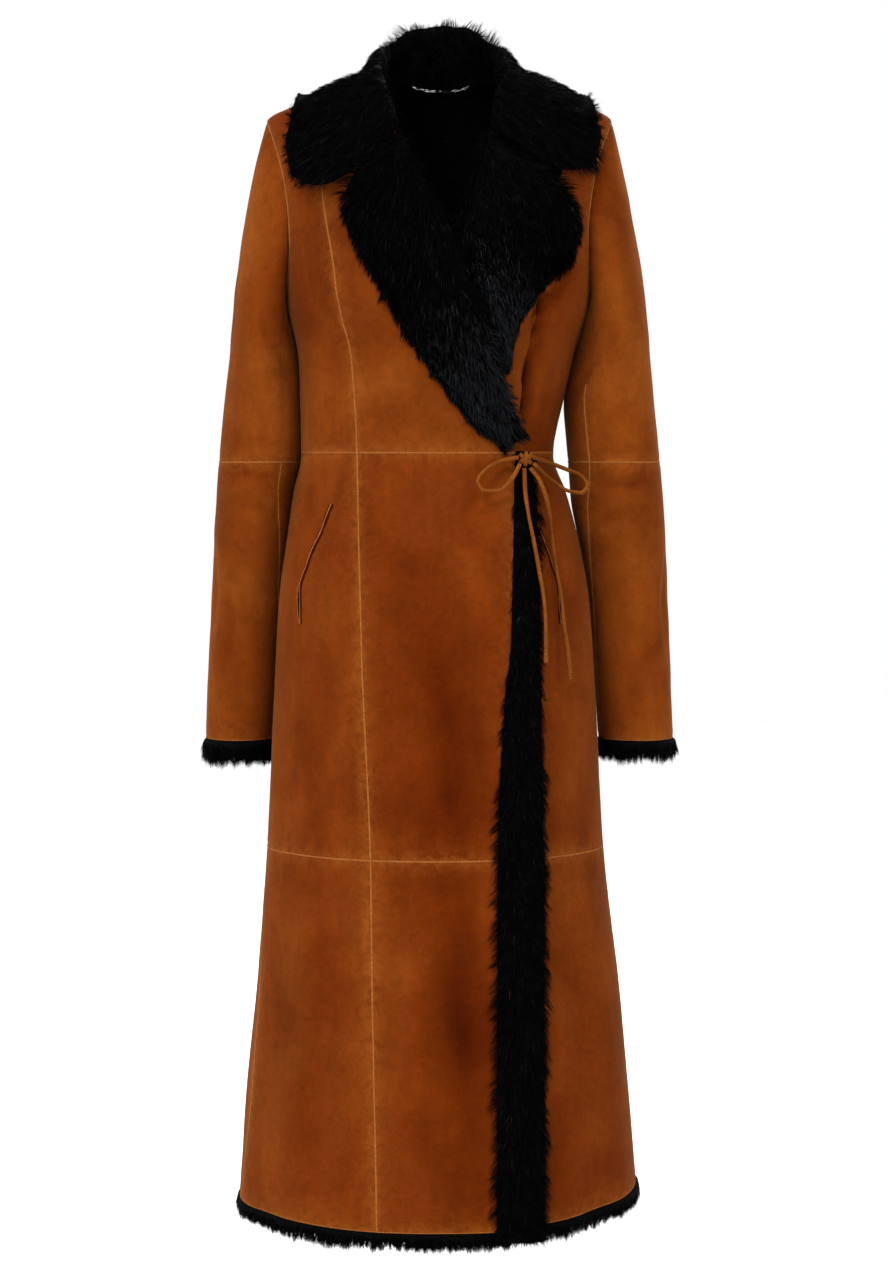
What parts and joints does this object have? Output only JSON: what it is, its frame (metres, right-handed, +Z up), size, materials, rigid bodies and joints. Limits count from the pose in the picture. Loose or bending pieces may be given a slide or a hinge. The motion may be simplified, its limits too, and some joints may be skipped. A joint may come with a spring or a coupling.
{
  "type": "shearling coat",
  "caption": "Long wrap coat of suede shearling with a notched pile collar, turned-out lapels and a tied lace at the waist, kept in its worn shape.",
  "frame": {"origin": "midway between the two places beside the neck where the coat hangs on the wearer's shoulders", "axes": "+X towards the wearer's left, +Y towards the wearer's back, +Z up"},
  "size_m": [0.5288, 0.3819, 1.3215],
  "materials": {
    "suede": "matt suede with a short nap",
    "pile": "long soft black sheepskin pile",
    "lace_leather": "matt suede lace",
    "steel": "bright fine chain"
  },
  "bodies": {
    "root": {"back_bodice": "suede", "back_lower_skirt": "suede", "back_skirt": "suede", "collar": "pile", "cuff_pile_left": "pile", "cuff_pile_right": "pile", "front_centre_bodice_left": "suede", "front_centre_bodice_right": "suede", "front_centre_lower_skirt_left": "suede", "front_centre_lower_skirt_right": "suede", "front_centre_skirt_left": "suede", "front_centre_skirt_right": "suede", "front_edge_pile": "pile", "front_side_bodice_left": "suede", "front_side_bodice_right": "suede", "front_side_lower_skirt_left": "suede", "front_side_lower_skirt_right": "suede", "front_side_skirt_left": "suede", "front_side_skirt_right": "suede", "hanger_chain": "steel", "hem_pile_back": "pile", "hem_pile_left": "pile", "hem_pile_right": "pile", "lace_end_left": "lace_leather", "lace_end_right": "lace_leather", "lace_knot": "lace_leather", "lace_loop_left": "lace_leather", "lace_loop_right": "lace_leather", "lapel_left": "pile", "lapel_right": "pile", "pocket_welt_left": "suede", "pocket_welt_right": "suede", "sleeve_forearm_top_left": "suede", "sleeve_forearm_top_right": "suede", "sleeve_forearm_under_left": "suede", "sleeve_forearm_under_right": "suede", "sleeve_upper_top_left": "suede", "sleeve_upper_top_right": "suede", "sleeve_upper_under_left": "suede", "sleeve_upper_under_right": "suede"}
  },
  "joints": []
}
